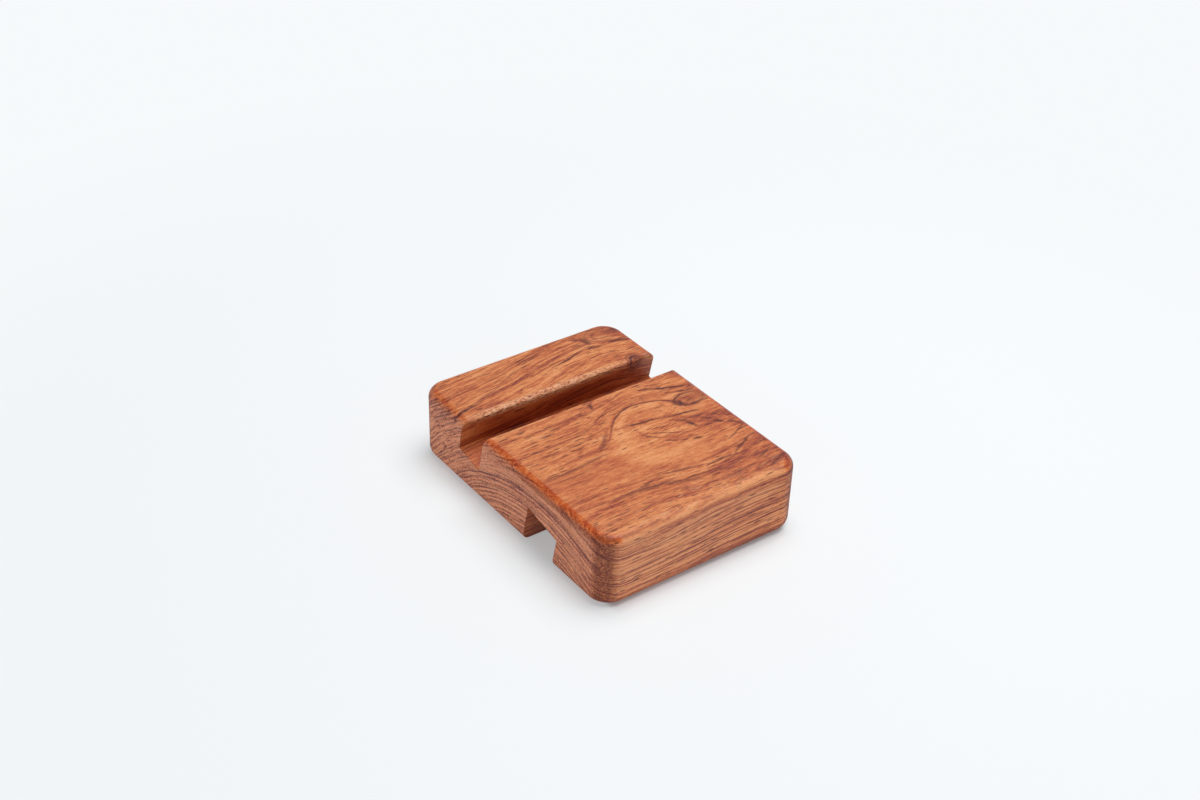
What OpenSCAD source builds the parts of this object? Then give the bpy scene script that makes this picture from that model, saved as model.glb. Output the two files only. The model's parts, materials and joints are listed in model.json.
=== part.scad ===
// Reversible phone stand, cut from one block of hardwood.
// X runs along the slots, -Y is the front that faces the user, +Z is up.
// The origin is the middle of the footprint, on the surface that the block rests on.
// The slot in the top holds a bare phone. Turned over, the block offers the wider slot of its
// underside, for a phone in a case. Each slot leans back over the deeper end of the block.

/* [Body] */
// Length of the block, from its front face to its back face
body_length = 80; // [72:1:120]
// Width of the block, along the slots
body_width = 60; // [30:1:120]
// Thickness of the block
body_height = 20; // [18:0.5:30]
// Radius of the four upright corners
corner_radius = 6; // [4:0.5:10]
// Radius of the round-over along the top edges
top_round = 2.5; // [0.5:0.25:3.5]
// Radius of the round-over along the bottom edges
base_round = 3; // [0.5:0.25:3.5]

/* [Phone slot in the top] */
// Width of the slot, measured square to its walls
slot_width = 9; // [7:0.5:11]
// Depth of the slot at the middle of its floor
slot_depth = 9.5; // [6:0.5:12]
// Distance from the front face to the middle of the slot's mouth
slot_from_front = 25.3; // [18:0.1:27]
// Lean of the slot away from upright, in degrees
slot_lean = 12; // [4:1:18]

/* [Wide slot in the underside] */
// Width of the wide slot, measured square to its walls
wide_slot_width = 12; // [9:0.5:14]
// Depth of the wide slot at the middle of its floor
wide_slot_depth = 10.5; // [6:0.5:12]
// Distance from the back face to the middle of the wide slot's mouth
wide_slot_from_back = 26.8; // [20:0.1:28]
// Lean of the wide slot away from upright, in degrees
wide_slot_lean = 12; // [4:1:18]

/* [Softened edges] */
// Radius along the two edges of the top slot's mouth
slot_edge_round = 1; // [0.25:0.25:1.5]
// Radius along the two edges of the wide slot's mouth
wide_slot_edge_round = 1; // [0.25:0.25:1.5]

/* [Hidden] */
$fn = 96;
wood_colour = [0.71, 0.40, 0.25];
overshoot = 1; // how far a cutter runs past the faces that it opens
meet_angle = 8; // angle at which a softened slot edge meets the faces beside it

// Centres of the upright corners
corner_x = body_width / 2 - corner_radius;
corner_y = body_length / 2 - corner_radius;

// Middle of each slot's mouth, along Y
slot_y = -body_length / 2 + slot_from_front;
wide_slot_y = body_length / 2 - wide_slot_from_back;

// What a round-over takes off a square edge. The section's top right corner is at the origin.
module edge_waste(radius) {
    difference() {
        translate([-radius, -radius]) square(radius + overshoot);
        translate([-radius, -radius]) circle(r = radius);
    }
}

// Upright section from the origin out to reach, with the outer edge rounded at top and bottom.
module edge_section(reach) {
    difference() {
        square([reach, body_height]);
        translate([reach, body_height]) edge_waste(top_round);
        translate([reach, 0])
            mirror([0, 1]) edge_waste(base_round);
    }
}

// The same section on both sides, right across a slab.
module slab_section(reach) {
    edge_section(reach);
    mirror([1, 0]) edge_section(reach);
}

// The plain block, with round-overs that run on round its upright corners.
module rounded_block() {
    // slab that reaches the block's front and back faces
    rotate([90, 0, 90])
        linear_extrude(height = 2 * corner_x, center = true) slab_section(body_length / 2);
    // slab that reaches the faces where the slots come out
    rotate([90, 0, 0])
        linear_extrude(height = 2 * corner_y, center = true) slab_section(body_width / 2);
    for (side_x = [-1, 1], side_y = [-1, 1])
        translate([side_x * corner_x, side_y * corner_y, 0])
            rotate_extrude() edge_section(corner_radius);
}

// What softening takes off the right-hand edge of a slot's mouth, joined to the open half of the
// slot beside it. The edge is at the origin. Its flat face runs level to the right, and its wall
// falls away into the slot, leaning by lean degrees from upright.
module mouth_edge_waste(radius, lean, half_mouth) {
    inset = radius * cos(meet_angle);
    to_foot = inset / tan((90 + lean) / 2);
    wall_foot = -to_foot * [sin(lean), cos(lean)];
    centre = [to_foot, -inset];
    difference() {
        polygon([centre, [to_foot, overshoot], [-half_mouth, overshoot],
                 [-half_mouth, wall_foot.y], wall_foot]);
        translate(centre) circle(r = radius);
    }
}

// Cross-section of a slot that opens upwards at the origin and leans back towards +X.
module slot_section(width, depth, lean, edge_radius) {
    half_mouth = width / 2 / cos(lean);
    translate([-depth * tan(lean), -depth])
        rotate(-lean)
            translate([-width / 2, 0])
                square([width, (depth + overshoot) / cos(lean) + width * tan(lean)]);
    translate([half_mouth, 0]) mouth_edge_waste(edge_radius, lean, half_mouth);
    mirror([1, 0])
        translate([half_mouth, 0]) mouth_edge_waste(edge_radius, -lean, half_mouth);
}

// A slot's section drawn along the whole width of the block. The section's X lies along Y.
module slot_cutter(width, depth, lean, edge_radius) {
    rotate([90, 0, 90])
        linear_extrude(height = body_width + 2 * overshoot, center = true)
            slot_section(width, depth, lean, edge_radius);
}

// The whole stand: the rounded block with the phone slot cut into its top and the wide slot into
// its underside.
module stand_block() {
    color(wood_colour)
        difference() {
            rounded_block();
            translate([0, slot_y, body_height])
                slot_cutter(slot_width, slot_depth, slot_lean, slot_edge_round);
            translate([0, wide_slot_y, 0])
                rotate([180, 0, 0])
                    slot_cutter(wide_slot_width, wide_slot_depth, wide_slot_lean,
                                wide_slot_edge_round);
        }
}

stand_block();
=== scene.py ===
"""Looks of a reversible wooden phone stand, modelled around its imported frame.

Run as a script, it makes the stand and its studio stage by calling its own operators in order.
"""

import json
import math
from functools import reduce

import bpy
from bpy.props import FloatProperty, FloatVectorProperty, IntProperty, PointerProperty
from mathutils import Matrix, Vector


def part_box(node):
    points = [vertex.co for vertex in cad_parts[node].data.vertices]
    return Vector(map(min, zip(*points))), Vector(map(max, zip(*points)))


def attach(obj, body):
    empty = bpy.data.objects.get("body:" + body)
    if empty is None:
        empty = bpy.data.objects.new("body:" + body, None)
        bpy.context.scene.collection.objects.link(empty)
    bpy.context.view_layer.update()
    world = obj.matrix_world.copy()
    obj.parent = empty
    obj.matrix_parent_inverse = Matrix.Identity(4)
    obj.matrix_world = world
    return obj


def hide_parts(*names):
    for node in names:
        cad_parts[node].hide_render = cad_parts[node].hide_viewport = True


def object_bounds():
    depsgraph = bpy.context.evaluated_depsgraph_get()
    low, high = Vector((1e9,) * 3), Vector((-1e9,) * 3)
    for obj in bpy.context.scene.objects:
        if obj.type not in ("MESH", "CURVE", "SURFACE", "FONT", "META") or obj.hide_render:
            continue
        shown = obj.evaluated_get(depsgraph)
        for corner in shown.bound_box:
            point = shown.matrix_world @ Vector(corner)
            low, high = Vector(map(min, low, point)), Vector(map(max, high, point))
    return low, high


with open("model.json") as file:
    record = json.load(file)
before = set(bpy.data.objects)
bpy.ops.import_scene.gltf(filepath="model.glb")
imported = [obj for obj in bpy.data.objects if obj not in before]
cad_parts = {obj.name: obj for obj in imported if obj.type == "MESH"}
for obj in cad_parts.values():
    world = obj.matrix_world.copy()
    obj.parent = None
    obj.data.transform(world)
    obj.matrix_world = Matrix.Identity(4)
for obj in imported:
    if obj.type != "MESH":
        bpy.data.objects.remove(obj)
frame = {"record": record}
CAD_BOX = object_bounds()
MOUNTS = {mount["name"]: mount for mount in frame["record"]["mounts"]}

bl_info = {
    "name": "Wooden phone stand",
    "version": (1, 0, 0),
    "blender": (4, 5, 0),
    "location": "View3D > Sidebar > Phone Stand",
    "description": "Builds a reversible hardwood phone stand and a soft studio stage for it",
    "category": "Object",
}

MM = 0.001
BODY = "root"
BLOCK_NODE = "stand_block"


# ---- Settings ----


def srgb(red, green, blue):
    """Linear colour of a colour given as 0 to 255 in each channel."""
    def straight(value):
        value /= 255.0
        return value / 12.92 if value <= 0.04045 else ((value + 0.055) / 1.055) ** 2.4
    return (straight(red), straight(green), straight(blue), 1.0)


def length(name, description, default, **limits):
    """A length in metres that the user can change."""
    return FloatProperty(name=name, description=description, default=default,
                         min=0.0, unit="LENGTH", subtype="DISTANCE", precision=5, **limits)


def colour(name, description, default):
    """A linear colour that the user can change."""
    return FloatVectorProperty(name=name, description=description, default=default[:3],
                               size=3, min=0.0, max=1.0, subtype="COLOR")


def plain(name, description, default, low=0.0, high=10.0):
    """A plain number that the user can change."""
    return FloatProperty(name=name, description=description, default=default, min=low, max=high)


class StandShape(bpy.types.PropertyGroup):
    """Sizes of the block and its two slots. The overall size comes from the frame."""

    corner_radius: length("Corner radius", "Radius of the four upright corners", 6.0 * MM)
    top_round: length("Top round-over", "Radius along the top edges", 2.5 * MM)
    base_round: length("Base round-over", "Radius along the bottom edges", 3.0 * MM)
    phone_slot_width: length("Phone slot width", "Width between the top slot's walls", 9.0 * MM)
    phone_slot_depth: length("Phone slot depth", "Depth at the middle of its floor", 9.5 * MM)
    wide_slot_width: length("Wide slot width", "Width between the lower slot's walls", 12.0 * MM)
    wide_slot_depth: length("Wide slot depth", "Depth at the middle of its floor", 10.5 * MM)
    mouth_round: length("Mouth round", "Radius along the edges of the slots' mouths", 1.0 * MM)
    arris_round: length("Arris round", "Softening of the edges that a cutter leaves", 0.18 * MM)
    arc_steps: IntProperty(name="Arc steps", description="Faces along a quarter turn",
                           default=14, min=3, max=48)


class TimberFinish(bpy.types.PropertyGroup):
    """Colours, veins, pores and polish of the oiled hardwood."""

    pale_wood: colour("Pale wood", "Palest wood between the veins", srgb(228, 152, 98))
    light_wood: colour("Light wood", "Plain light wood", srgb(211, 127, 74))
    red_wood: colour("Red wood", "Plain red-brown wood", srgb(190, 100, 58))
    deep_wood: colour("Deep wood", "Wood beside the veins", srgb(152, 69, 46))
    dark_wood: colour("Dark wood", "Darkest bands of the wood", srgb(112, 48, 38))
    line: colour("Vein", "Middle of a vein", srgb(100, 42, 38))
    mark: colour("Mark", "Dark marks and the rings of knots", srgb(88, 37, 31))
    pore: colour("Pore", "Open pores", srgb(92, 38, 28))
    vein_spacing: plain("Vein spacing", "Usual distance between veins, in millimetres",
                        0.95, 0.3, 5.0)
    pore_depth: plain("Pore depth", "How dark and deep the pores are", 1.0, 0.0, 1.0)
    roughness: plain("Roughness", "Roughness of the oiled surface", 0.5, 0.0, 1.0)


class StudioLook(bpy.types.PropertyGroup):
    """Paper, sky and softbox round the stand."""

    paper: colour("Paper", "Colour of the floor under the stand", (0.925, 0.95, 0.962))
    contact_glow: plain(
        "Contact glow", "Share of plain white in the paper right under the stand", 0.36)
    paper_glow: plain("Paper glow", "Share of plain white in the paper near the stand", 0.56)
    contact_line: plain(
        "Contact line", "What is left of that share right under the long sides", 0.3)
    horizon: plain("Horizon", "Strength of the light from low down all round", 0.9)
    zenith: plain("Zenith", "Strength of the sky's light from overhead", 0.15)
    key_power: plain("Key power", "Power of the overhead softbox, in watts", 3.7, high=1000.0)
    key_place: FloatVectorProperty(name="Key place", description="Middle of the overhead softbox",
                                   default=(-0.14, 0.04, 0.64), size=3, subtype="TRANSLATION",
                                   unit="LENGTH")
    key_size: length("Key size", "Side of the overhead softbox", 0.5)


# ---- Node helpers ----


class Graph:
    """Adds nodes to a node tree, each linked in one call, with short names for arithmetic."""

    def __init__(self, tree):
        self.tree = tree

    def feed(self, socket, value):
        """Links an output to a socket, or sets the socket's own value."""
        if isinstance(value, bpy.types.NodeSocket):
            self.tree.links.new(value, socket)
        elif value is not None:
            socket.default_value = value

    def node(self, kind, inputs=None, **settings):
        """A node of that kind, with its settings and inputs. Inputs are keyed by name or place."""
        made = self.tree.nodes.new(kind)
        for key, value in settings.items():
            setattr(made, key, value)
        for key, value in (inputs or {}).items():
            self.feed(made.inputs[key], value)
        return made

    def make(self, kind, inputs=None, **settings):
        """First output of a new node."""
        return self.node(kind, inputs, **settings).outputs[0]

    def math(self, operation, *values):
        return self.make("ShaderNodeMath", dict(enumerate(values)), operation=operation)

    def add(self, a, b):
        return self.math("ADD", a, b)

    def sub(self, a, b):
        return self.math("SUBTRACT", a, b)

    def mul(self, a, b):
        return self.math("MULTIPLY", a, b)

    def div(self, a, b):
        return self.math("DIVIDE", a, b)

    def size(self, value):
        return self.math("ABSOLUTE", value)

    def total(self, values):
        return reduce(self.add, values)

    def product(self, values):
        return reduce(self.mul, values)

    def most(self, values):
        return reduce(lambda a, b: self.math("MAXIMUM", a, b), values)

    def ease(self, value, low, high, start=0, end=1):
        """Smooth step from start at low to end at high."""
        return self.make("ShaderNodeMapRange", {
            "Value": value, "From Min": low, "From Max": high, "To Min": start, "To Max": end,
        }, interpolation_type="SMOOTHSTEP")

    def xyz(self, x, y, z):
        return self.make("ShaderNodeCombineXYZ", {0: x, 1: y, 2: z})

    def split(self, vector):
        return self.node("ShaderNodeSeparateXYZ", {0: vector}).outputs

    def vector(self, operation, a, b=None):
        made = self.node("ShaderNodeVectorMath", {0: a, 1: b}, operation=operation)
        return made.outputs["Value" if operation in ("LENGTH", "DOT_PRODUCT") else "Vector"]


def emptied_tree(owner):
    """The node tree of a new material or world, without the nodes it starts with."""
    owner.use_nodes = True
    owner.node_tree.nodes.clear()
    return owner.node_tree


# ---- The block ----


OVERRUN = 2.0 * MM  # how far the shapes that cut the slots run past the block
LIFT = 0.01 * MM  # how far the arcs of a slot's mouth stand off the face, to meet it at an angle
WELD = 1e-6  # corners closer than this become one
CUT_ANGLE = math.radians(35)  # an outward edge sharper than this is softened
SHARP_ANGLE = math.radians(40)  # an edge sharper than this isn't shaded as round
ARRIS_STEPS = 2
ROOT_TWO = math.sqrt(2.0)
QUARTER_TURN = math.pi / 2


class BlockGraph(Graph):
    """Nodes for the block's geometry tree."""

    def pick(self, when, otherwise, value):
        """value where the switch is on, and otherwise elsewhere."""
        return self.make("GeometryNodeSwitch", {0: when, "False": otherwise, "True": value},
                         input_type="FLOAT")

    def above(self, a, b):
        return self.make("FunctionNodeCompare", {"A": a, "B": b}, operation="GREATER_THAN")

    def join(self, *parts):
        """Parts as one mesh, with the corners that they share made one."""
        joined = self.node("GeometryNodeJoinGeometry")
        for part in parts:
            self.feed(joined.inputs[0], part)
        return self.make("GeometryNodeMergeByDistance", {
            "Geometry": joined.outputs[0], "Distance": WELD})


def block_tree():
    """Geometry tree: a rounded slab made row by row, with the base mesh's slot outlines cut out."""
    tree = bpy.data.node_groups.new("rounded block with slots", "GeometryNodeTree")
    for name, kind, way in (
        ("Slot outlines", "Geometry", "INPUT"),
        *((name, "Float", "INPUT") for name in (
            "Width", "Length", "Height", "Corner radius", "Top round", "Base round")),
        ("Arc steps", "Int", "INPUT"),
        ("Material", "Material", "INPUT"),
        ("Block", "Geometry", "OUTPUT"),
    ):
        tree.interface.new_socket(name, in_out=way, socket_type="NodeSocket" + kind)

    g = BlockGraph(tree)
    given = g.node("NodeGroupInput").outputs
    steps = given["Arc steps"]
    corner = given["Corner radius"]
    height = given["Height"]

    # A grid with a column for each step round the outline and a row for each step up the side
    per_corner = g.add(steps, 1)
    columns = g.mul(per_corner, 4)
    last_row = g.add(g.mul(steps, 2), 3)
    grid = g.make("GeometryNodeMeshGrid", {
        "Size X": columns, "Size Y": last_row,
        "Vertices X": g.add(columns, 1), "Vertices Y": g.add(last_row, 1)})
    place = g.split(g.make("GeometryNodeInputPosition"))
    column = g.math("ROUND", g.add(place[0], g.div(columns, 2)))
    row = g.math("ROUND", g.add(place[1], g.div(last_row, 2)))

    # Outline: which corner the column belongs to, and the way it faces
    quarter = g.math("FLOOR", g.div(g.add(column, 0.5), per_corner))
    within = g.sub(column, g.mul(quarter, per_corner))
    facing = g.mul(g.add(quarter, g.div(within, steps)), QUARTER_TURN)
    towards = g.mul(g.add(quarter, 0.5), QUARTER_TURN)

    def outline(side, way, reach):
        """Where a point of the outline lies along one axis."""
        centre = g.mul(g.sub(g.mul(side, 0.5), corner), g.mul(g.math(way, towards), ROOT_TWO))
        return g.add(centre, g.mul(reach, g.math(way, facing)))

    def rounding(first_row, radius):
        """What a turn that starts at a row leaves of a radius, by its sine and by its cosine."""
        done = g.math("MINIMUM", g.math("MAXIMUM", g.sub(row, first_row), 0), steps)
        turn = g.mul(g.div(done, steps), QUARTER_TURN)
        return [g.mul(radius, g.sub(1, g.math(way, turn))) for way in ("SINE", "COSINE")]

    # Side: how far in from the outline each row lies, and how high
    base_inset, base_height = rounding(1, given["Base round"])
    top_fall, top_inset = rounding(g.add(steps, 2), given["Top round"])
    on_top = g.above(row, g.add(steps, 1.5))
    inset = g.pick(on_top, base_inset, top_inset)
    inset = g.pick(g.above(0.5, row), inset, corner)
    inset = g.pick(g.above(row, g.sub(last_row, 0.5)), inset, corner)
    level = g.pick(on_top, base_height, g.sub(height, top_fall))
    reach = g.sub(corner, inset)
    side = g.make("GeometryNodeSetPosition", {
        "Geometry": grid,
        "Position": g.xyz(outline(given["Width"], "COSINE", reach),
                          outline(given["Length"], "SINE", reach), level)})

    # Flat middles of the top and the base, between the corners' centres
    middle = g.make("GeometryNodeMeshGrid", {
        "Size X": g.sub(given["Width"], g.mul(corner, 2)),
        "Size Y": g.sub(given["Length"], g.mul(corner, 2)), "Vertices X": 2, "Vertices Y": 2})
    lid = g.make("GeometryNodeTransform", {"Geometry": middle, "Translation": g.xyz(0, 0, height)})
    floor = g.make("GeometryNodeFlipFaces", {"Mesh": middle})
    whole = g.join(side, lid, floor)

    # Slots: the outlines drawn right across the block, and cut from it
    run = g.add(given["Width"], 2 * OVERRUN)
    start = g.make("GeometryNodeTransform", {
        "Geometry": given["Slot outlines"], "Translation": g.xyz(g.mul(run, -0.5), 0, 0)})
    drawn = g.make("GeometryNodeExtrudeMesh", {
        "Mesh": start, "Offset": g.xyz(1, 0, 0), "Offset Scale": run, "Individual": False})
    back = g.make("GeometryNodeFlipFaces", {"Mesh": start})
    cut = g.make("GeometryNodeMeshBoolean", {"Mesh 1": whole, "Mesh 2": g.join(drawn, back)},
                 operation="DIFFERENCE", solver="EXACT")

    # Edges that the cutter leaves are marked for softening
    bend = g.node("GeometryNodeInputMeshEdgeAngle").outputs["Signed Angle"]
    marked = g.make("GeometryNodeStoreNamedAttribute", {
        "Geometry": cut, "Name": "bevel_weight_edge",
        "Value": g.pick(g.above(bend, CUT_ANGLE), 0.0, 1.0)}, domain="EDGE")
    dressed = g.make("GeometryNodeSetMaterial", {
        "Geometry": marked, "Material": given["Material"]})
    g.node("NodeGroupOutput", {0: dressed})
    return tree


def slot_outline(mouth, out_way, width, depth, mouth_round, steps):
    """Points (y, z) round one slot's section, open at its mouth.

    mouth is the middle of the mouth, and out_way the way out of the slot, both in the YZ plane.
    The outline runs a little past the face, and its mouth edges turn on arcs that meet the face
    at a slight angle.
    """
    up = 1.0 if out_way[1] > 0 else -1.0
    lean = out_way[0] / out_way[1] * up  # sideways travel for each unit out of the face
    half_mouth = width / 2 / abs(out_way[1])
    floor_y = mouth[0] - depth * lean
    floor_z = mouth[1] - depth * up
    square = (out_way[1] * up, -out_way[0] * up)
    points = []
    for side in (-1.0, 1.0):
        # Foot of the wall, square to the slot's own way
        foot = (floor_y + side * width / 2 * square[0], floor_z + side * width / 2 * square[1])
        # Arc between the wall and the face
        wall_angle = math.atan(lean) * side
        opening = math.pi / 2 + wall_angle
        reach = mouth_round / math.tan(opening / 2)
        edge_y = mouth[0] + side * half_mouth + lean * LIFT
        arc_y = edge_y + side * reach
        arc_z = LIFT - mouth_round
        arc = []
        for k in range(steps + 1):
            angle = (math.pi - opening) * k / steps
            arc.append((arc_y - side * mouth_round * math.sin(angle),
                        mouth[1] + up * (arc_z + mouth_round * math.cos(angle))))
        arc.insert(0, (arc_y, mouth[1] + up * OVERRUN))
        wall = arc + [foot]
        points += wall if side > 0 else wall[::-1]
    return points


def slot_outlines(shape):
    """Base mesh of the block: one flat face for each slot's section, in the plane X = 0."""
    steps = max(3, shape.arc_steps // 3)
    corners = []
    faces = []
    for name, width, depth in (
        ("phone_slot", shape.phone_slot_width, shape.phone_slot_depth),
        ("wide_slot", shape.wide_slot_width, shape.wide_slot_depth),
    ):
        mouth = MOUNTS[name]["pos_m"][1:]
        out_way = MOUNTS[name]["axis"][1:]
        outline = slot_outline(mouth, out_way, width, depth, shape.mouth_round, steps)
        area = sum(a[0] * b[1] - b[0] * a[1] for a, b in zip(outline, outline[1:] + outline[:1]))
        if area < 0:
            outline.reverse()
        faces.append(list(range(len(corners), len(corners) + len(outline))))
        corners += [(0.0, y, z) for y, z in outline]
    mesh = bpy.data.meshes.new("slot outlines")
    mesh.from_pydata(corners, [], faces)
    return mesh


def add_object(name, data):
    made = bpy.data.objects.new(name, data)
    bpy.context.scene.collection.objects.link(made)
    return made


def make_plain(piece):
    """Turns a piece's modifiers into a plain mesh."""
    bpy.context.view_layer.update()
    state = bpy.context.evaluated_depsgraph_get()
    mesh = bpy.data.meshes.new_from_object(
        piece.evaluated_get(state), preserve_all_data_layers=True, depsgraph=state)
    old = piece.data
    piece.modifiers.clear()
    piece.data = mesh
    bpy.data.meshes.remove(old)
    mesh.name = piece.name


def make_block(shape, material):
    """The block as one closed mesh with softened arrises and smooth round-overs."""
    low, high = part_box(BLOCK_NODE)
    piece = add_object("hardwood_block", slot_outlines(shape))
    nodes = piece.modifiers.new("block", "NODES")
    nodes.node_group = block_tree()
    values = {
        "Width": high[0] - low[0],
        "Length": high[1] - low[1],
        "Height": high[2] - low[2],
        "Corner radius": shape.corner_radius,
        "Top round": shape.top_round,
        "Base round": shape.base_round,
        "Arc steps": shape.arc_steps,
        "Material": material,
    }
    for socket in nodes.node_group.interface.items_tree:
        if socket.name in values:
            nodes[socket.identifier] = values[socket.name]
    soften = piece.modifiers.new("arrises", "BEVEL")
    soften.limit_method = "WEIGHT"
    soften.width = shape.arris_round
    soften.segments = ARRIS_STEPS
    soften.use_clamp_overlap = False
    make_plain(piece)

    piece.data.shade_smooth()
    piece.data.set_sharp_from_angle(angle=SHARP_ANGLE)
    weigh = piece.modifiers.new("flat normals", "WEIGHTED_NORMAL")
    weigh.keep_sharp = True
    make_plain(piece)
    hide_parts(BLOCK_NODE)
    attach(piece, BODY)
    return piece


# ---- Wood ----

# Timber coordinates are in millimetres: U runs along the grain from the +X end, V across the block
# from its front face, and Z up. The rings lie round a pith that runs along U below the block.
HALF_WIDTH = 30  # from the block's middle to the end where U begins
HALF_LENGTH = 40  # from the block's middle to the front face
PITH_V = 54
PITH_Z = -40
RING_RADIUS = 60  # distance from the pith to the middle of the top

# The grain swells where a branch once left the trunk: middle along U, reach towards each end, lift
SWELL_U = 41
SWELL_REACH = (24, 40)
SWELL_LIFT = 1.25

# Smaller lifts and hollows in the rings: middle (U, V, Z), reach along each, lift
LIFTS = (
    ((38.5, 42, 20), (15, 12, 12), 1.1),
    ((36, 57.5, 20), (12, 8, 10), -0.4),
    ((50, 46, 20), (7, 8, 10), -0.5),
)

# The grain of the narrow bar climbs towards the front as far as this, then turns back: rise for
# each millimetre, place of the turn along U, fall for each millimetre past it, edges of the fade
BAR_CLIMB = 0.085
BAR_TURN_U = 47
BAR_FALL = 0.12
BAR_FADE = (22, 34)

# Plain patches, where lines fade: middle (U, V, Z), reach along each, strength
PLAIN_PATCHES = (
    ((16, 57, 20), (22, 6.5, 9), 1),
    ((37, 61, 20), (17, 7.5, 9), 1),
    ((37, 42, 20), (9, 4.5, 6), 0.7),
    ((46, 47, 20), (8, 3, 6), 0.5),
)

# Broad zones of paler or deeper wood: middle (U, V, Z), reach along each, change of depth. The
# zone at (54, 1, 19.5), on the front top edge at the far end, is painted shade.
SHADES = (
    ((53, 71, 20), (8, 5, 8), 0.12), ((59, 4, 20), (8, 8, 8), 0.16),
    ((59, 30.5, 20), (8, 5, 8), 0.2), ((22, 30, 20), (7, 3.6, 6), 0.2),
    ((52, 36, 20), (10, 5.5, 9), -0.22), ((37.5, 50.5, 20), (9, 5.5, 8), -0.17),
    ((54, 53.5, 20), (9.5, 7, 8), 0.16), ((9, 41, 20), (15, 9, 9), -0.1),
    ((22, 49.5, 20), (9, 4, 7), 0.22), ((13, 66, 20), (13, 3, 6), -0.17),
    ((8, 70, 20), (13, 2.8, 6), 0.15), ((54, 74, 20), (9, 3.6, 5), 0.14),
    ((53, 66, 20), (8, 3, 5), -0.13), ((14.5, 6, 20), (9, 3.4, 6), -0.15),
    ((47, 17, 20), (6, 4.5, 6), 0.12), ((33.5, 37.5, 20), (7, 3.4, 5), -0.14),
    ((6, 74, 20), (9, 2.8, 4), -0.14), ((46, 80, 16.5), (14, 5, 3.5), -0.27),
    ((54, 1, 19.5), (10, 3.4, 4), 0.14), ((57.5, 58.5, 20), (4.5, 3.6, 5), 0.2),
    ((58, 5, 20), (5.5, 6, 6), 0.16), ((48, 61, 20), (6, 3.4, 5), 0.1),
    ((0, 68, 9), (8, 10, 9), -0.09), ((12, 80, 9), (14, 5, 5), -0.1),
    ((0, 38, 8), (8, 12, 7), -0.12), ((0, 14, 10), (8, 9, 9), 0.09),
)

# The dark line that runs round the branch, as a distance from the pith
BRANCH_RING = 60.02

# Rings that stand out: distance from the pith, strength
STRONG_RINGS = ((54.4, 0.6), (55.9, 0.6), (57.6, 0.3), (58.95, 0.3), (60.75, 0.4), (61.35, 0.7),
                (63.1, 0.6), (66.4, 0.4), (70.7, 0.5), (74.5, 0.5))

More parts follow.
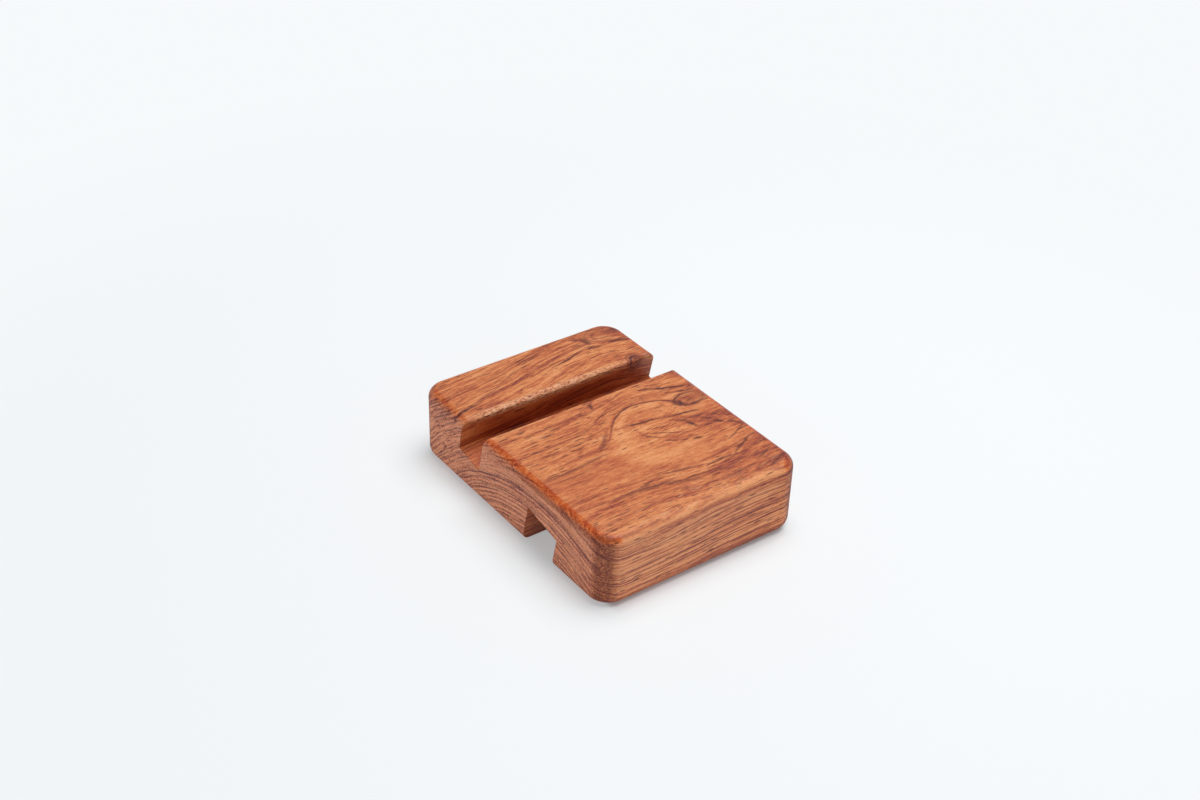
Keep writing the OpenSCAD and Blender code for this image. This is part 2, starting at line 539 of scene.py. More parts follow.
# Dark marks in the top, all round this height: middle (U, V), half lengths along, across and down,
# turn in degrees, strength
MARK_Z = 19
MARKS = (
    # The bar
    (47.4, 6.2, 1.5, 3.4, 4, -14, 0.8), (45.6, 4.2, 2.6, 0.8, 3, 20, 0.8),
    (39.4, 10.8, 9, 0.7, 3, -14, 1.1), (47.6, 10, 3.6, 0.8, 3, 6, 1.1),
    (55.4, 10.5, 7.5, 0.7, 3, 13, 1.1), (57.4, 5, 0.9, 2, 3, -20, 0.7),
    (3.5, 16.5, 7, 0.8, 3, -8, 1), (12, 13.6, 8.5, 0.6, 3, -17, 0.45),
    (21.6, 9.3, 8.5, 0.6, 3, -22, 0.4), (31, 5.6, 7, 0.45, 3, -15, 0.6),
    (54.2, 19.4, 1.5, 1.2, 2, 0, 1),
    # Behind the slot
    (46.2, 33.6, 3.4, 0.45, 3, 16, 0.9), (51.8, 36.1, 9.5, 0.75, 3, 20, 1.2),
    (54.6, 39.3, 5.5, 0.6, 3, 14, 0.8), (30.4, 32.5, 0.8, 2.2, 3, 14, 0.8),
    (26, 34.6, 2.4, 0.6, 3, 15, 0.7),
    # Round the second knot
    (50.2, 43.6, 1.1, 2, 3, 24, 1.2), (52.6, 42.2, 2.2, 0.35, 3, 12, 0.8),
    (53.8, 43.6, 2.6, 0.35, 3, 8, 0.8), (52.8, 45.2, 2.8, 0.45, 3, 4, 1),
    # Inside the branch's line
    (37.6, 45.5, 9.5, 0.7, 3, 9, 1), (47.6, 47.5, 8, 0.7, 3, 9, 1),
    (35.2, 51.6, 4, 0.5, 3, 42, 0.7), (40, 52.6, 8, 0.5, 3, 29, 0.7),
    (38.4, 55.5, 2.4, 0.5, 3, 28, 0.9), (41.2, 57, 2.2, 0.6, 2, 24, 1),
    (44.3, 58.2, 2, 0.8, 2, 20, 1.2), (47.1, 52.6, 0.9, 2.8, 4, -16, 1.1),
    (45.6, 49.8, 2.6, 0.8, 3, 20, 0.8), (50.5, 50.2, 5, 0.6, 3, 8, 0.7),
    (51.8, 52.8, 2.4, 0.7, 3, 42, 1.1), (53.6, 55.2, 2.2, 0.7, 3, 40, 1.1),
    (56.2, 57.2, 2, 0.7, 3, 34, 1.1), (57.4, 59, 1.8, 0.6, 3, 44, 1),
    (54.8, 52.4, 1.6, 0.5, 3, 62, 0.9), (57.2, 54.4, 1.8, 0.5, 3, 24, 0.9),
    # Towards the back
    (11, 52.2, 13, 1, 3, -3, 0.5), (11, 54.6, 9, 0.6, 3, -2, 0.4),
    (23, 68.2, 11, 0.7, 3, 3, 0.65), (33, 66.6, 10, 0.8, 3, 12, 0.6),
    (44.5, 68.4, 8.5, 0.8, 3, 3, 0.85), (17, 67.5, 10, 1.3, 3, 0, 0.45),
    (21.5, 68, 6.5, 1.3, 3, 7, 0.5), (29.5, 70.1, 9.5, 1.2, 3, 20, 0.5),
    (16.8, 51.8, 9, 0.9, 3, -5, 0.5), (24.2, 46.8, 5.5, 1, 3, -41, 0.6),
    (52, 66.2, 8, 0.65, 3, -26, 0.8), (54, 61.4, 6, 0.5, 3, -22, 0.6),
    (28, 64.8, 9, 0.4, 3, 3, 0.4), (36, 70.4, 9, 0.6, 3, 4, 0.6),
    (14, 37, 3.8, 0.5, 3, 4, 0.8), (8, 41.5, 3.4, 0.5, 3, 0, 0.8),
    (17.5, 44.5, 3, 0.5, 3, 2, 0.7), (54, 72, 5, 0.7, 3, -18, 0.6),
    (10, 72.6, 5, 0.5, 3, 3, 0.6),
)

# Small knots: middle (U, V, Z), half lengths along, across and down, ring count, how dark the
# middle is, strength
KNOTS = (
    ((53.8, 20, 18.9), (2.6, 2.5, 3), 2.2, 1, 1.6),
    ((53.8, 43.1, 19.5), (5.4, 3.1, 5), 1.5, 0, 1),
    ((53, 5.5, 19.5), (5, 3.6, 5), 2.4, 0, 0.6),
)

# Where pores crowd together: middle (U, V, Z), reach along each
PORE_CROWD = ((13, 43, 20), (17, 11, 9))
# Pores: length, width, strength
PORE_SIZES = ((5.8, 0.78, 1), (3.4, 0.56, 1), (1.5, 0.38, 0.6))

# Slots, for the painted shade inside them: middle of the mouth (V, Z), drift of V with Z, half
# width
CAVITIES = ((25.3, 20, 0.2126, 4.65), (53.2, 0, 0.2126, 6.15))
CAVITY_DEPTH = 11.3
# Band along the front edge of the phone slot's mouth, flecked by wear and painted highlight: V
# where it begins, is full, begins to end and ends
RIM_BAND = (18.5, 19.9, 21.2, 21.8)

SLOPE_STEP = 0.2  # between the points that the rings' slope is taken from
LEAST_PACE = 0.06  # keeps lines finite where the rings lie flat in a surface
TONE_STOPS = (0.28, 0.55, 0.80)  # where the light, the red and the deep wood lie between the ends
SPECULAR = 0.38
BUMP_STRENGTH = 0.35
BUMP_DEPTH = 0.06 * MM


class WoodGraph(Graph):
    """Masks, textures and mixes for the timber."""

    def fade(self, value, low, high):
        """Smooth step from one at low to zero at high."""
        return self.ease(value, low, high, 1, 0)

    def mask(self, *steps):
        """Product of smooth steps, each given as ease takes it."""
        return self.product([self.ease(*step) for step in steps])

    def scaled(self, vector, x, y, z):
        return self.vector("MULTIPLY", vector, (x, y, z))

    def times(self, vector, factor):
        """A vector made longer by a factor."""
        return self.make("ShaderNodeVectorMath", {0: vector, "Scale": factor}, operation="SCALE")

    def noise(self, vector, x, y, z, detail=2, rough=0.5):
        """Noise with features about x, y and z millimetres long, from 0 to 1."""
        return self.make("ShaderNodeTexNoise", {
            "Vector": self.scaled(vector, 1 / x, 1 / y, 1 / z),
            "Scale": 1, "Detail": detail, "Roughness": rough})

    def wander(self, vector, size, amount):
        """A place moved about by a soft noise with features of that size."""
        push = self.node("ShaderNodeTexNoise", {
            "Vector": self.times(vector, 1 / size), "Scale": 1, "Detail": 1}).outputs["Color"]
        push = self.vector("SUBTRACT", push, (0.5, 0.5, 0.5))
        return self.vector("ADD", vector, self.times(push, amount))

    def reach_from(self, place, middle, reach):
        """Distance from a middle point, in which each axis counts its own reach as one."""
        off = self.vector("SUBTRACT", place, middle)
        return self.vector("LENGTH", self.scaled(off, *(1 / size for size in reach)))

    def spots(self, place, table, core):
        """Soft spots: each row's height as far as a share core of its reach, and then a fall."""
        return [self.ease(self.reach_from(place, middle, reach), core, 1, height, 0)
                for middle, reach, height in table]

    def blend(self, amount, a, b, kind="MIX"):
        return self.node("ShaderNodeMix", {0: amount, 6: a, 7: b}, data_type="RGBA",
                         blend_type=kind, clamp_factor=True).outputs[2]

    def tinted(self, amount, wood, tint):
        """Wood darkened through a tint by an amount from 0 to 1."""
        return self.blend(amount, wood, self.blend(1, wood, tint, "MULTIPLY"))

    def group(self, tree, **inputs):
        """A node group in its place, fed by the names of its inputs."""
        named = {name.capitalize(): value for name, value in inputs.items()}
        return self.node("ShaderNodeGroup", named, node_tree=tree).outputs


def new_group(name, vectors, values, results):
    """A shader node group with those sockets, with its graph, its inputs and its output node."""
    tree = bpy.data.node_groups.new(name, "ShaderNodeTree")
    for labels, way, kind in ((vectors, "INPUT", "Vector"), (values, "INPUT", "Float"),
                              (results, "OUTPUT", "Float")):
        for label in labels:
            tree.interface.new_socket(label, in_out=way, socket_type="NodeSocket" + kind)
    g = WoodGraph(tree)
    return tree, g, g.node("NodeGroupInput").outputs, g.node("NodeGroupOutput")


def ring_group():
    """Distance from the pith through the swollen, slightly wavy grain."""
    tree, g, given, out = new_group("ring distance", ("Place",), (), ("Ring",))
    place = given["Place"]
    u, v, z = g.split(place)
    across = g.sub(v, PITH_V)
    up = g.sub(z, PITH_Z)
    plain_ring = g.math("SQRT", g.add(g.mul(across, across), g.mul(up, up)))
    past = g.sub(u, SWELL_U)
    along = g.math("MAXIMUM", g.div(past, -SWELL_REACH[0]), g.div(past, SWELL_REACH[1]))
    climb = g.math("MINIMUM", g.mul(u, BAR_CLIMB),
                   g.sub(BAR_TURN_U * (BAR_CLIMB + BAR_FALL), g.mul(u, BAR_FALL)))
    lifts = g.total([g.ease(along, 0, 1, SWELL_LIFT, 0), *g.spots(place, LIFTS, 0),
                     g.mul(climb, g.fade(v, *BAR_FADE))])
    long_wave = g.mul(g.sub(g.noise(place, 22, 9, 9, detail=1), 0.5), 1.3)
    short_wave = g.mul(g.sub(g.noise(place, 7, 3.5, 3.5, detail=1), 0.5), 0.4)
    steady = g.ease(g.size(across), 4, 28, 0.18, 1)
    wave = g.mul(g.add(long_wave, short_wave), steady)
    g.feed(out.inputs[0], g.add(g.sub(plain_ring, lifts), wave))
    return tree


def mark_group():
    """A stretched, ragged blot round a middle point, turned in the UV plane."""
    tree, g, given, out = new_group("dark mark", ("Place", "Middle", "Reach"),
                                    ("Turn", "Ragged", "Strength"), ("Mask",))
    off = g.vector("SUBTRACT", given["Place"], given["Middle"])
    turned = g.make("ShaderNodeVectorRotate", {"Vector": off, "Angle": g.mul(given["Turn"], -1)},
                    rotation_type="Z_AXIS")
    far = g.vector("LENGTH", g.vector("DIVIDE", turned, given["Reach"]))
    blot = g.fade(g.add(far, given["Ragged"]), 0.3, 0.95)
    g.feed(out.inputs[0], g.mul(blot, given["Strength"]))
    return tree


def knot_group():
    """Rings wound round a small knot, and how far they take over from the grain."""
    tree, g, given, out = new_group("knot", ("Place", "Middle", "Reach"),
                                    ("Rings", "Core", "Ragged", "Strength"), ("Hold", "Line"))
    off = g.vector("SUBTRACT", given["Place"], given["Middle"])
    off = g.vector("DIVIDE", off, given["Reach"])
    far = g.add(g.vector("LENGTH", off), given["Ragged"])
    wave = g.math("SINE", g.mul(g.mul(far, given["Rings"]), 2 * math.pi))
    hold = g.mul(g.fade(far, 0.8, 1.15), given["Strength"])
    line = g.mask((wave, -0.1, 0.95), (g.split(off)[0], -0.3, 0.9, 1, 0.3),
                  (far, 0.35, 0.6, given["Core"], 1))
    g.feed(out.inputs[0], hold)
    g.feed(out.inputs[1], g.mul(line, hold))
    return tree


class Timber:
    """What every layer of the wood reads: where a point lies, which way it faces, and the grain."""

    def __init__(self, g):
        seat = g.node("ShaderNodeTexCoord").outputs
        x, y, self.z = g.split(g.times(seat["Object"], 1 / MM))
        self.u = g.sub(HALF_WIDTH, x)
        self.v = g.add(y, HALF_LENGTH)
        self.place = g.xyz(self.u, self.v, self.z)
        facing = g.scaled(seat["Normal"], -1, 1, 1)
        self.face_u, self.face_v, self.face_z = (g.size(part) for part in g.split(facing))
        self.end_grain = g.ease(self.face_u, 0.45, 0.9)
        self.find_rings(g, facing)
        self.find_grain(g)
        self.find_zones(g)

    def find_rings(self, g, facing):
        """Ring distance, and how fast it changes along the surface."""
        rings = ring_group()
        self.ring = g.group(rings, place=self.place)[0]
        slopes = []
        for way in ((SLOPE_STEP, 0, 0), (0, SLOPE_STEP, 0), (0, 0, SLOPE_STEP)):
            beside = g.group(rings, place=g.vector("ADD", self.place, way))[0]
            slopes.append(g.div(g.sub(beside, self.ring), SLOPE_STEP))
        slope = g.xyz(*slopes)
        inward = g.times(facing, g.vector("DOT_PRODUCT", slope, facing))
        pace = g.vector("LENGTH", g.vector("SUBTRACT", slope, inward))
        self.pace = g.math("MAXIMUM", pace, LEAST_PACE)
        self.heart = g.fade(self.ring, 54, 60)

    def find_grain(self, g):
        """Noises, most in grain coordinates: out from the pith, round it, and along it."""
        around = g.math("ARCTAN2", g.sub(self.v, PITH_V), g.sub(self.z, PITH_Z))
        self.around = g.mul(around, RING_RADIUS)
        grain = g.xyz(self.ring, self.around, self.u)
        self.hair = g.noise(grain, 0.18, 0.38, 2.6, detail=3, rough=0.62)
        self.fine = g.noise(grain, 0.36, 0.85, 7, detail=3, rough=0.6)
        self.streak = g.noise(grain, 0.9, 2.6, 16)
        self.broad = g.noise(grain, 3.5, 9, 26, detail=1)
        self.blots = g.noise(grain, 1.1, 3.8, 9)
        # Layers of the rings, long in every direction but outwards
        self.layers = g.noise(grain, 0.46, 14, 34, detail=1.5, rough=0.55)
        self.speckle = g.noise(self.place, 1, 0.36, 0.36, rough=0.6)
        self.ragged = g.mul(g.sub(g.noise(self.place, 1.6, 0.35, 0.35), 0.5), 1.2)

    def find_zones(self, g):
        """Plain patches, the branch's pale wood, broad shades, and how far lines show."""
        self.plain = g.most(g.spots(self.place, PLAIN_PATCHES, 0.45))
        # Pale wood inside the line round the branch
        self.island = g.mask((self.ring, 58.9, 59.5), (self.ring, 59.75, 60.05, 1, 0),
                             (self.u, 20.5, 27), (self.v, 60, 66, 1, 0), (self.z, 12, 17))
        self.shade = g.total(g.spots(g.wander(self.place, 6, 3), SHADES, 0.3))
        self.lined = g.mul(g.sub(1, g.mul(self.plain, 0.92)), g.sub(1, self.island))


def vein_layer(g, t, spacing):
    """Halo and core of thin veins at uneven distances, each fading in and out along the grain."""
    cell = g.node("ShaderNodeTexVoronoi", {
        "W": g.div(t.ring, spacing), "Scale": 1, "Randomness": 0.8},
        voronoi_dimensions="1D").outputs
    away = g.div(g.mul(cell["Distance"], spacing), t.pace)
    chance = g.split(cell["Color"])[0]
    along = g.noise(g.xyz(g.mul(chance, 40), t.around, t.u), 1, 7, 9)
    hidden = g.mul(t.heart, 0.5)
    strength = g.mul(t.lined, g.mask((chance, 0, 1, g.add(0.2, hidden), 1),
                                     (along, 0.35, 0.62, hidden, 1)))
    halo = g.mul(g.fade(away, 0, 0.6), strength)
    width = g.ease(t.end_grain, 0, 1, 0.24, 0.36)
    core = g.mul(strength, g.mask((away, 0.06, width, 1, 0), (t.hair, 0.35, 0.6, 0.3, 1),
                                  (t.end_grain, 0, 1, 0.62, 1.1)))
    return halo, core


def strong_ring_layer(g, t):
    """Halo and core of the rings that stand out, with the line round the branch."""
    fades = g.mul(g.ease(g.noise(t.place, 10, 6, 6), 0.3, 0.6, 0.3, 1), t.lined)
    cores = []
    halos = []
    for radius, weight in STRONG_RINGS:
        past = g.sub(t.ring, radius)
        away = g.div(g.size(past), t.pace)
        cores.append(g.ease(away, 0.07, 0.30, weight, 0))
        halos.append(g.mask((past, 0, 0.7, weight, 0), (away, 0, 2.6, 1, 0)))
    core = g.product([g.most(cores), fades, g.ease(t.v, 73.5, 79, 1, 0.6)])
    halo = g.product([g.most(halos), fades, g.ease(t.v, 73.5, 79, 1, 0.3),
                      g.ease(t.end_grain, 0, 1, 1, 0.5)])
    past = g.sub(t.ring, BRANCH_RING)
    away = g.div(g.size(past), t.pace)
    near = g.mask((t.v, 51, 57, 1, 0), (t.u, 21, 34, 0.12, 1), (t.u, 48, 54, 1, 0.2),
                  (t.z, 8, 14))
    far = g.mul(g.ease(t.v, 60, 65, 0, 0.5), t.lined)
    line = g.mul(g.fade(away, 0.10, 0.42), g.most([near, far]))
    shade = g.mul(near, g.mask((past, 0, 0.7, 0.9, 0), (past, -0.05, 0), (away, 0, 2.2, 1, 0)))
    return g.most([halo, shade]), g.most([core, line])


def mark_layer(g, t):
    """The dark marks, as one mask."""
    mark = mark_group()
    place = g.wander(t.place, 4, 1)
    ragged = g.mul(t.ragged, 0.65)
    return g.most([
        g.group(mark, place=place, middle=(u, v, MARK_Z), reach=(along, across, down),
                turn=math.radians(turn), ragged=ragged, strength=weight)[0]
        for u, v, along, across, down, turn, weight in MARKS])


def knot_layer(g, t):
    """How far the knots take over from the grain, and their own lines."""
    knot = knot_group()
    place = g.wander(g.wander(t.place, 3, 1.4), 1.1, 0.9)
    ragged = g.mul(g.sub(t.hair, 0.5), 0.3)
    knots = [g.group(knot, place=place, middle=middle, reach=size, rings=count, core=core,
                     ragged=ragged, strength=weight)
             for middle, size, count, core, weight in KNOTS]
    return g.most([made[0] for made in knots]), g.most([made[1] for made in knots])


def pore_layer(g, t):
    """Short dark dashes along the grain, which are dots where the grain ends."""
    crowd = g.total([g.mul(g.noise(t.place, 12, 5, 5, detail=1), 0.68),
                     g.ease(g.reach_from(t.place, *PORE_CROWD), 0.4, 1, 0.36, 0),
                     g.mask((t.v, 69, 75, 0, 0.36), (t.v, 78.5, 80, 1, 0.4))])
    push = g.mul(t.ragged, 0.16)
    across = g.xyz(t.u, g.add(t.v, push), g.add(t.z, push))
    pores = []
    for long, wide, strength in PORE_SIZES:
        cell = g.node("ShaderNodeTexVoronoi", {
            "Vector": g.scaled(across, 1 / long, 1 / wide, 1 / wide), "Scale": 1}).outputs
        chance = g.split(cell["Color"])
        size = g.ease(chance[1], 0, 1, 0.16, 0.38)
        pores.append(g.mask((g.div(cell["Distance"], size), 0.6, 1.05, 1, 0),
                            (g.add(chance[0], crowd), 0.94, 1.02),
                            (chance[2], 0, 1, 0.35 * strength, strength)))
    return g.mul(g.most(pores), g.sub(1, g.mul(t.plain, 0.75)))


def tone_value(g, t, halo, strong_halo):
    """Depth of the wood's own colour, from 0, pale, to 1, dark."""
    side = g.mask((t.face_v, 0.15, 0.6), (t.v, 70, 76))
    # Noises: where each one's swing about the middle begins, and how deep it goes
    swings = (
        (t.hair, 0.34, g.add(0.26, g.mul(t.end_grain, 0.22))),
        (t.fine, 0.36, g.sub(0.32, g.mul(t.plain, 0.12))),
        (t.streak, 0.34, g.sub(0.32, g.mul(t.plain, 0.18))),
        (t.layers, 0.36, g.total([0.06, g.mul(side, 0.55), g.mul(t.end_grain, 0.62)])),
        (t.speckle, 0.36, g.add(0.14, g.mul(t.end_grain, 0.10))),
    )
    # Broad bands that show where the rings are cut across
    bands = g.total([
        g.ease(g.size(g.sub(t.ring, 58)), 0.4, 1.2, -0.22, 0),
        g.ease(g.size(g.sub(t.ring, 55.6)), 0.5, 1.5, 0.16, 0),
        g.mask((t.blots, 0.54, 0.66, 0, 0.5), (t.ring, 60.5, 64)),
        -0.30])
    return g.total([
        *(g.mul(g.ease(noise, low, 1 - low, -0.5, 0.5), depth) for noise, low, depth in swings),
        g.mul(g.sub(t.broad, 0.5), g.sub(0.6, g.mul(side, 0.3))),
        g.mul(halo, g.add(0.22, g.mul(side, 0.12))),
        g.mul(strong_halo, 0.34),
        g.mul(side, -0.15),
        t.shade,
        g.ease(t.u, 44, 60, 0, 0.10),
        g.ease(t.u, 53, 59, 0, 0.07),
        g.ease(t.v, 18, 30, -0.09, 0),
        g.ease(g.reach_from(t.place, *PORE_CROWD), 0.3, 1, -0.06, 0),
        g.mask((t.u, 28, 44), (t.v, 60, 68, 0, 0.07)),
        g.mul(t.plain, 0.05),
        g.mul(t.island, -0.24),
        g.mul(bands, t.end_grain),
        0.36])


def edge_wear_and_painted_light(g, t, wood, knot_hold):
    """Round-overs and arrises, each oiled or rubbed in its own way, with painted shade on some
    edges and painted highlight on the phone slot's rim.
    """
    # Those across the grain drank more oil and were rubbed to a deep orange
    oiled = g.mask((t.face_u, 0.02, 0.14), (t.face_u, 0.62, 0.92, 1, 0), (t.face_z, 0.25, 0.5),
                   (t.fine, 0.3, 0.6, 0.6, 1), (t.v, 20, 38, 0.55, 1))
    wood = g.tinted(g.mul(oiled, 0.9), wood, srgb(246, 182, 100))
    wood = g.blend(g.mul(oiled, g.ease(t.speckle, 0.56, 0.68, 0, 0.6)), wood, srgb(120, 50, 26))
    # Corners of the top
    crown = g.mask((t.face_u, 0.12, 0.3), (t.face_v, 0.10, 0.25), (t.face_z, 0.35, 0.65),
                   (t.fine, 0.3, 0.6, 0.4, 0.85))
    wood = g.blend(crown, wood, srgb(146, 64, 24))
    # Round-overs along the grain are paler towards the back
    pale = g.mask((t.face_v, 0.10, 0.5), (t.face_z, 0.15, 0.5), (t.face_u, 0.05, 0.2, 1, 0),
                  (t.hair, 0.42, 0.6, 0, 0.5), (t.v, 30, 50, 0, 0.35))
    wood = g.blend(pale, wood, srgb(228, 168, 124))
    # Pale strokes lie on the top beside the back edge
    strokes = g.mask((t.v, 70.5, 75), (t.v, 78, 79.6, 1, 0.3), (t.z, 17.5, 19),
                     (t.u, 30, 50, 1, 0.5), (t.face_u, 0.02, 0.14, 1, 0),
                     (t.fine, 0.54, 0.66, 0, 0.55))
    wood = g.blend(strokes, wood, srgb(232, 172, 124))
    # Painted shade darkens the top edge of the front, and more deeply the bottom edges along the
    # grain
    front = g.mask((t.v, 0.5, 4, 0.5, 0), (t.face_z, 0.1, 0.4))
    wood = g.tinted(front, wood, srgb(236, 216, 190))
    base = g.mask((t.z, 1, 3.6, 1, 0), (t.face_v, 0.1, 0.4))
    wood = g.tinted(base, wood, srgb(202, 158, 108))
    # Below the oiled edges lies a darker line
    under = g.mask((t.face_u, 0.62, 0.85), (t.face_z, 0.05, 0.4), (t.v, 36, 50, 0.3, 1),
                   (t.v, 64, 74, 1, 0.6), (t.hair, 0.3, 0.6, 0.6, 1))
    wood = g.tinted(under, wood, srgb(188, 160, 142))
    # Upright corners are dark and mottled
    upright = g.mask((t.face_u, 0.18, 0.6), (t.face_v, 0.10, 0.5), (t.face_z, 0.3, 0.6, 1, 0))
    mottle = g.mul(upright, g.ease(t.hair, 0.36, 0.58, 0.24, 0.92))
    wood = g.blend(mottle, g.tinted(upright, wood, srgb(244, 224, 200)), srgb(104, 42, 28))
    # The front edge of the phone slot's mouth is flecked: pale flecks, partly wear and partly
    # painted highlight where the rounded edge catches light, and dark flecks of wear
    rim = g.mask((t.v, *RIM_BAND[:2]), (t.v, *RIM_BAND[2:], 1, 0), (t.z, 17.6, 18.8),
                 (t.u, 1, 8, 0.2, 1))
    rim = g.mul(rim, g.sub(1, knot_hold))
    wear_and_highlight_flecks = g.mask((t.speckle, 0.45, 0.6, 0.06, 0.66), (t.u, 34, 50, 1, 0.4))
    wood = g.blend(g.mul(rim, wear_and_highlight_flecks), wood, srgb(240, 190, 152))
    wood = g.blend(g.mul(rim, g.ease(t.speckle, 0.38, 0.46, 0.7, 0)), wood, srgb(112, 48, 32))
    return wood, oiled


def slot_painted_shade(g, t, wood):
    """Painted shade inside the slots: it deepens below the mouth and is lighter towards the ends.
    """
    slot_shade_masks = []
    for mouth_v, mouth_z, drift, half in CAVITIES:
        rise = g.sub(t.z, mouth_z)
        deep = g.size(rise)
        beside = g.size(g.sub(t.v, g.add(mouth_v, g.mul(rise, drift))))
        slot_shade_masks.append(g.mask((beside, half, half + 0.3, 1, 0), (deep, 0.6, 3.5),
                              (deep, CAVITY_DEPTH, CAVITY_DEPTH + 0.7, 1, 0)))
    painted_shade = g.mul(g.most(slot_shade_masks), g.mask((t.face_u, 0.1, 0.3, 1, 0), (t.u, 0, 9, 0.45, 1),
                                           (t.u, 42, 60, 1, 0.5)))
    return g.tinted(painted_shade, wood, srgb(214, 172, 138))


def wood_material(finish):
    """Oiled red-brown hardwood, cut through the solid: lines, pores, end grain and rubbed edges,
    with painted shade and sheen.
    """
    material = bpy.data.materials.new("oiled hardwood")
    g = WoodGraph(emptied_tree(material))
    t = Timber(g)
    halo, core = vein_layer(g, t, finish.vein_spacing)
    strong_halo, strong_core = strong_ring_layer(g, t)
    marks = mark_layer(g, t)
    knot_hold, knot_line = knot_layer(g, t)
    pores = g.mul(pore_layer(g, t), finish.pore_depth)

    tone = tone_value(g, t, halo, strong_halo)
    shades = g.node("ShaderNodeValToRGB", {0: tone})
    ramp = shades.color_ramp
    ramp.elements[0].color = (*finish.pale_wood, 1)
    ramp.elements[1].color = (*finish.dark_wood, 1)
    for spot, tint in zip(TONE_STOPS, (finish.light_wood, finish.red_wood, finish.deep_wood)):
        ramp.elements.new(spot).color = (*tint, 1)
    line = (*finish.line, 1)
    dark = (*finish.mark, 1)
    wood = g.blend(core, shades.outputs[0], line)
    wood = g.blend(g.mul(strong_core, g.ease(t.hair, 0.25, 0.6, 0.45, 0.9)), wood, line)
    wood = g.blend(g.mul(knot_hold, 0.45), wood, srgb(152, 72, 46))
    wood = g.blend(g.mul(knot_line, g.ease(t.hair, 0.3, 0.6, 0.6, 0.95)), wood, dark)
    wood = g.blend(g.ease(marks, 0, 0.5, 0, 0.3), wood, srgb(156, 70, 46))
    wood = g.blend(g.mul(marks, g.ease(t.hair, 0.28, 0.54, 0.42, 1)), wood, dark)
    wood = g.blend(g.mul(pores, 0.9), wood, (*finish.pore, 1))

    # Painted sheen: the long sides are lightened and greyed as a gloss reflection would, less so
    # towards the far end
    painted_sheen = g.mask((t.face_v, 0.4, 0.9), (g.size(g.sub(t.v, HALF_LENGTH)), 37, 40, 0, 0.07),
                   (t.u, 28, 60, 1, 0))
    wood = g.blend(painted_sheen, wood, srgb(214, 178, 164))

    # End grain is duller and greyer, most of all in its dark lines
    dull = g.blend(1, wood, srgb(258, 254, 286), "MULTIPLY")
    dull = g.blend(g.ease(tone, 0.30, 0.75, 0, 0.5), dull, srgb(100, 62, 64))
    wood = g.blend(t.end_grain, wood, dull)
    wood, oiled = edge_wear_and_painted_light(g, t, wood, knot_hold)
    # Painted shade inside the slots
    wood = slot_painted_shade(g, t, wood)

    roughness = g.total([finish.roughness, g.mul(pores, 0.2), g.mul(t.end_grain, 0.1),
                         g.mul(g.sub(t.fine, 0.5), 0.2), g.mul(oiled, -0.12)])
    relief = g.total([g.mul(t.hair, 0.5), g.mul(t.fine, 0.4), g.mul(pores, -1.2),
                      g.mul(core, -0.3)])
    bump = g.make("ShaderNodeBump", {
        "Height": relief, "Strength": BUMP_STRENGTH, "Distance": BUMP_DEPTH})
    shader = g.make("ShaderNodeBsdfPrincipled", {
        "Base Color": wood, "Roughness": roughness, "Specular IOR Level": SPECULAR,
        "Normal": bump})
    g.node("ShaderNodeOutputMaterial", {0: shader})
    return material


# ---- Stage ----

# Camera, in the frame's own metres, for a picture of 1200 x 800
CAMERA_PLACE = (0.21492, 0.28058, 0.26018)
CAMERA_YAW = math.radians(52.85)
CAMERA_PITCH = math.radians(33.50)
CAMERA_ROLL = math.radians(2.01)
CAMERA_FOCAL = 51.57
SENSOR_WIDTH = 36.0
CLIP_START = 0.01


def make_camera():
    """The camera looks down and back across the block, from its +X, +Y side."""
    data = bpy.data.cameras.new("stage camera")
    data.lens = CAMERA_FOCAL
    data.sensor_width = SENSOR_WIDTH
    data.clip_start = CLIP_START
    camera = add_object("stage camera", data)
    turn = (Matrix.Rotation(QUARTER_TURN + CAMERA_YAW, 4, "Z")
            @ Matrix.Rotation(QUARTER_TURN - CAMERA_PITCH, 4, "X")
            @ Matrix.Rotation(CAMERA_ROLL, 4, "Z"))
    camera.matrix_world = Matrix.Translation(CAMERA_PLACE) @ turn
    bpy.context.scene.camera = camera


PAPER_INSET = 6.0 * MM  # the outline's corners are rounded by this much
PAPER_ZONE = 7.0 * MM  # width of the zone round the stand in which the paper grows brighter
PAPER_FAR = (0.10, 0.27)  # distances from the middle over which it turns to plain white
CONTACT_INSET = 1.0 * MM  # middle of the darkest strip, in from a long side
CONTACT_STRIP = (1.5 * MM, 3.5 * MM)  # distances from that middle over which the strip ends
FLOOR_HALF = 1.6
SKY_HEIGHTS = (0.25, 0.65)  # between them the horizon's strength turns to the zenith's
SKY_TINT = (0.96, 0.98, 1.0, 1.0)


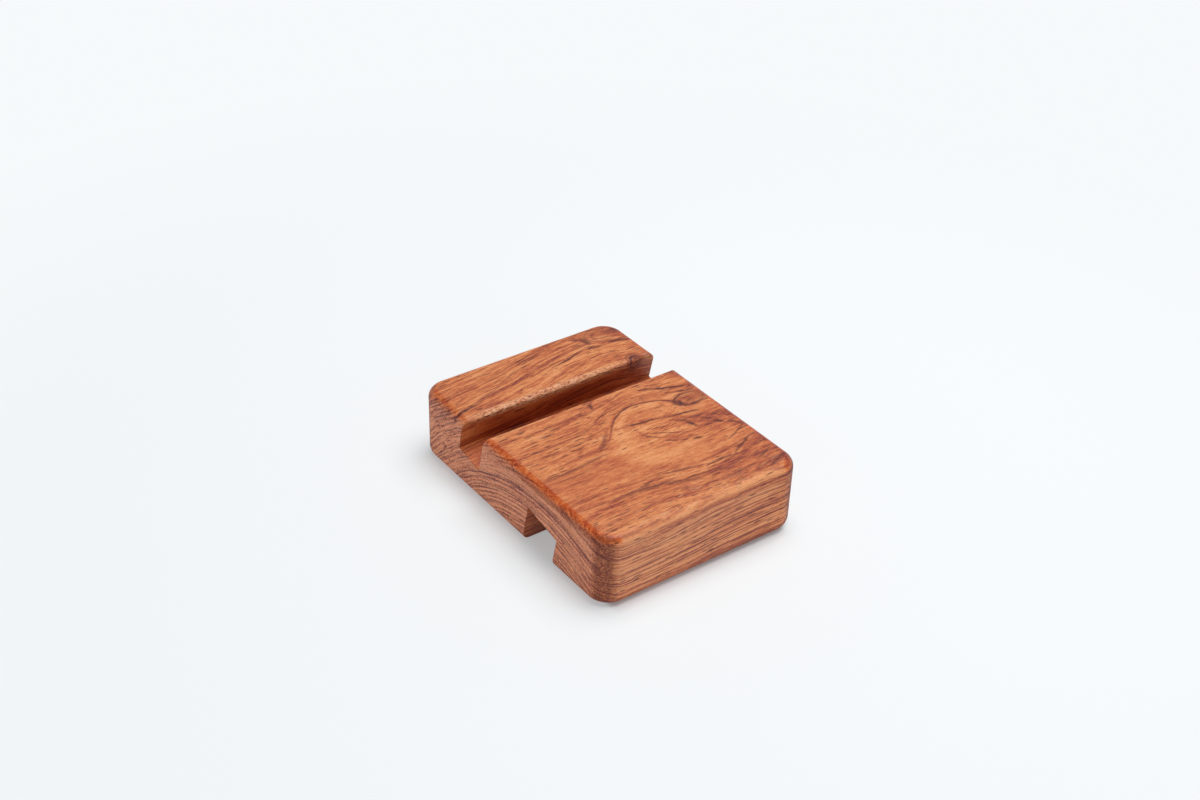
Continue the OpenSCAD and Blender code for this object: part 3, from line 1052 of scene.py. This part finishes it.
def paper_material(look):
    """Paper that shows shadows, and is partly plain white to the camera and to gloss."""
    material = bpy.data.materials.new("studio paper")
    g = Graph(emptied_tree(material))
    tint = (*look.paper, 1.0)
    sheet = g.make("ShaderNodeBsdfDiffuse", {"Color": tint})
    glow = g.make("ShaderNodeEmission", {"Color": tint})
    ray = g.node("ShaderNodeLightPath").outputs
    seen = g.most([ray["Is Camera Ray"], ray["Is Glossy Ray"], ray["Is Transmission Ray"]])
    # Distance from the stand's outline on the paper, and from the middle of the paper
    spot = g.node("ShaderNodeTexCoord").outputs["Object"]
    x, y = (g.size(part) for part in g.split(spot)[:2])
    high_x, high_y, _ = CAD_BOX[1]
    past_x = g.sub(x, high_x - PAPER_INSET)
    past_y = g.sub(y, high_y - PAPER_INSET)
    beside = g.vector("LENGTH", g.xyz(g.most([past_x, 0]), g.most([past_y, 0]), 0))
    close = g.ease(beside, PAPER_INSET, PAPER_INSET + PAPER_ZONE, look.contact_glow,
                   look.paper_glow)
    share = g.ease(g.vector("LENGTH", spot), *PAPER_FAR)
    share = g.add(close, g.mul(share, g.sub(1, close)))
    # Under the rounded bottom edges of the long sides the paper is at its darkest
    from_strip = g.most([g.size(g.sub(y, high_y - CONTACT_INSET)), past_x])
    share = g.mul(share, g.ease(from_strip, *CONTACT_STRIP, look.contact_line, 1))
    mix = g.make("ShaderNodeMixShader", {0: g.mul(seen, share), 1: sheet, 2: glow})
    g.node("ShaderNodeOutputMaterial", {0: mix})
    return material


def make_floor(look):
    corners = [(x * FLOOR_HALF, y * FLOOR_HALF, 0) for x, y in ((-1, -1), (1, -1), (1, 1), (-1, 1))]
    mesh = bpy.data.meshes.new("studio_paper")
    mesh.from_pydata(corners, [], [(0, 1, 2, 3)])
    mesh.materials.append(paper_material(look))
    paper = add_object("studio_paper", mesh)


def make_sky(look):
    """Soft light from all round, most of it from low down. The camera sees the paper's white."""
    world = bpy.data.worlds.new("studio sky")
    g = Graph(emptied_tree(world))
    height = g.split(g.node("ShaderNodeTexCoord").outputs["Generated"])[2]
    level = g.ease(height, *SKY_HEIGHTS, look.horizon, look.zenith)
    soft = g.make("ShaderNodeBackground", {"Color": SKY_TINT, "Strength": level})
    white = g.make("ShaderNodeBackground", {"Color": (*look.paper, 1.0)})
    seen = g.node("ShaderNodeLightPath").outputs["Is Camera Ray"]
    mix = g.make("ShaderNodeMixShader", {0: seen, 1: soft, 2: white})
    g.node("ShaderNodeOutputWorld", {0: mix})
    bpy.context.scene.world = world


def make_softbox(look):
    """A square lamp overhead, turned towards the stand."""
    data = bpy.data.lights.new("overhead softbox", "AREA")
    data.shape = "SQUARE"
    data.size = look.key_size
    data.energy = look.key_power
    lamp = add_object("overhead softbox", data)
    place = Vector(look.key_place)
    turn = (-place).to_track_quat("-Z", "Y").to_matrix().to_4x4()
    lamp.matrix_world = Matrix.Translation(place) @ turn


# ---- Operators and panel ----


class STAND_OT_block(bpy.types.Operator):
    """Make the hardwood block with its two slots"""

    bl_idname = "stand.block"
    bl_label = "Hardwood Block"

    def execute(self, context):
        make_block(context.scene.stand_shape, wood_material(context.scene.stand_timber))
        return {"FINISHED"}


class STAND_OT_stage(bpy.types.Operator):
    """Make the floor, the sky, the softbox and the camera"""

    bl_idname = "stand.stage"
    bl_label = "Studio Stage"

    def execute(self, context):
        look = context.scene.stand_studio
        make_floor(look)
        make_sky(look)
        make_softbox(look)
        make_camera()
        context.scene.view_settings.view_transform = "Standard"
        return {"FINISHED"}


class STAND_PT_panel(bpy.types.Panel):
    """Buttons and settings of the phone stand"""

    bl_idname = "STAND_PT_panel"
    bl_label = "Phone Stand"
    bl_space_type = "VIEW_3D"
    bl_region_type = "UI"
    bl_category = "Phone Stand"

    def draw(self, context):
        for operator in (STAND_OT_block, STAND_OT_stage):
            self.layout.operator(operator.bl_idname)
        scene = context.scene
        for group in (scene.stand_shape, scene.stand_timber, scene.stand_studio):
            box = self.layout.box()
            for name in group.__annotations__:
                box.prop(group, name)


CLASSES = (StandShape, TimberFinish, StudioLook, STAND_OT_block, STAND_OT_stage, STAND_PT_panel)


def register():
    for item in CLASSES:
        bpy.utils.register_class(item)
    bpy.types.Scene.stand_shape = PointerProperty(type=StandShape)
    bpy.types.Scene.stand_timber = PointerProperty(type=TimberFinish)
    bpy.types.Scene.stand_studio = PointerProperty(type=StudioLook)


def unregister():
    del bpy.types.Scene.stand_studio
    del bpy.types.Scene.stand_timber
    del bpy.types.Scene.stand_shape
    for item in reversed(CLASSES):
        bpy.utils.unregister_class(item)


def main():
    register()
    bpy.ops.stand.block()
    bpy.ops.stand.stage()


if __name__ == "__main__":
    main()
